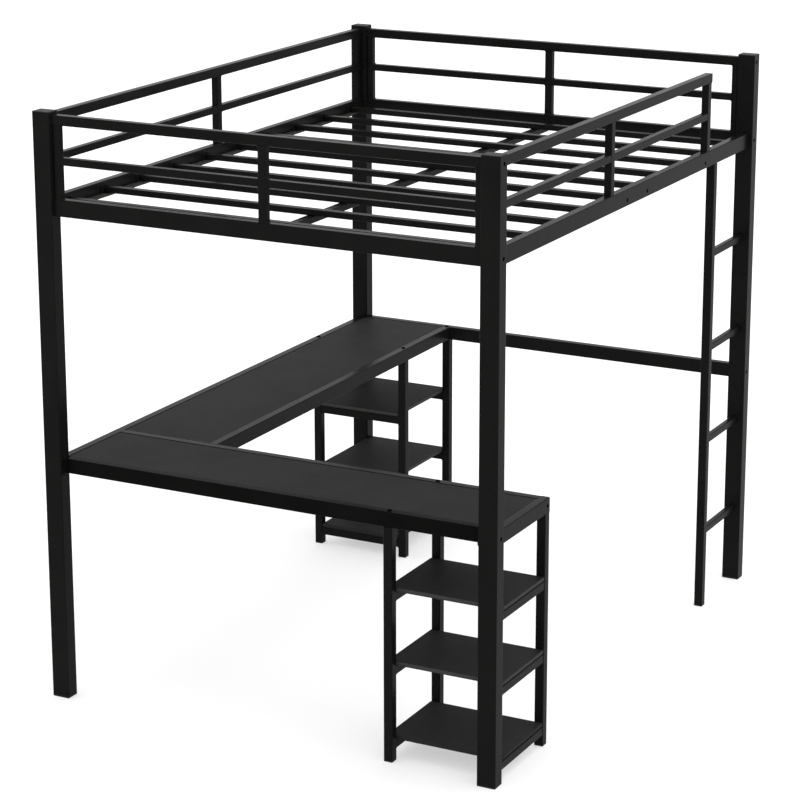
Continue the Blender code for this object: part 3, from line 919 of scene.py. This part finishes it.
def stand_frame(name, axis, leg_ends, seed):
    """Legs and three rails of one side of a shelf stand. leg_ends says at which ends the legs stand."""
    low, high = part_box(name)
    direction = AXES[axis][2]
    crossways = (low.y, high.y) if axis == "x" else (low.x, high.x)
    start, end = low[direction], high[direction]
    shape = bmesh.new()
    legs = {}
    for which in leg_ends:
        along = (start, start + STAND_LEG) if which == "start" else (end - STAND_LEG, end)
        legs[which] = box_between(axis, along, crossways, (low.z, high.z))
        tube(shape, *legs[which], "z")
    inset = (STAND_LEG - STAND_RAIL_DEPTH) / 2
    rail_across = (crossways[0] + inset, crossways[1] - inset)
    run = (start + STAND_LEG if "start" in legs else start, end - STAND_LEG if "end" in legs else end)
    for number in (1, 2, 3):
        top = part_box("left_shelf_%d" % number)[0].z - GAP
        rail = box_between(axis, run, rail_across, (top - STAND_RAIL_HEIGHT, top))
        bar(shape, *rail, axis)
        for which, leg in legs.items():
            weld(shape, *rail, axis, which == "end", leg, seed + number * 2 + (which == "end"))
    steel_piece(name + "_steel", shape, name)


def make_stands():
    stand_frame("left_stand_back_frame", "x", ("start", "end"), 600)
    stand_frame("left_stand_front_frame", "x", ("end",), 620)
    stand_frame("right_stand_left_frame", "y", ("start", "end"), 640)
    stand_frame("right_stand_right_frame", "y", ("start",), 660)


# ---------------------------------------------------------------- room, light and camera


def make_floor():
    shape = bmesh.new()
    reach = 150.0
    bmesh.ops.create_grid(shape, x_segments=8, y_segments=8, size=reach)
    mesh = bpy.data.meshes.new("floor")
    shape.to_mesh(mesh)
    shape.free()
    mesh.materials.append(floor_paint())
    floor = bpy.data.objects.new("floor", mesh)
    floor.location.z = -FLOOR_DROP
    bpy.context.scene.collection.objects.link(floor)


def soft_sun(name, direction, strength, spread):
    """Even light that comes from everywhere within half the spread of a direction."""
    lamp = bpy.data.lights.new(name, "SUN")
    lamp.energy = strength
    lamp.angle = math.radians(spread)
    light = bpy.data.objects.new(name, lamp)
    light.rotation_euler = Vector(direction).to_track_quat("-Z", "Y").to_euler()
    bpy.context.scene.collection.objects.link(light)


def make_light():
    world = bpy.data.worlds.new("studio")
    world.use_nodes = True
    background = world.node_tree.nodes["Background"]
    background.inputs["Color"].default_value = (1.0, 1.0, 1.0, 1.0)
    background.inputs["Strength"].default_value = 1.3
    bpy.context.scene.world = world
    soft_sun("overhead softbox", (-0.15, 0.25, -1.0), 0.7, 70.0)


def make_camera():
    """The photograph's view: from above the -X -Y corner with a long lens."""
    data = bpy.data.cameras.new("camera")
    data.sensor_width = 36.0
    data.lens = 120.15
    data.shift_x = -0.0161
    data.shift_y = -0.0836
    data.clip_end = 400.0
    camera = bpy.data.objects.new("camera", data)
    camera.location = (-7.724, -3.966, 3.372)
    camera.rotation_euler = (math.radians(90 - 14.84), 0.0, math.radians(-62.70))
    bpy.context.scene.collection.objects.link(camera)
    bpy.context.scene.camera = camera


make_posts()
make_caps_and_feet()
make_end_panels()
make_side_rails()
make_guards()
make_deck()
make_ladder()
make_desk_rails()
make_boards()
make_stands()
make_floor()
make_light()
make_camera()
bpy.context.scene.view_settings.view_transform = "Standard"
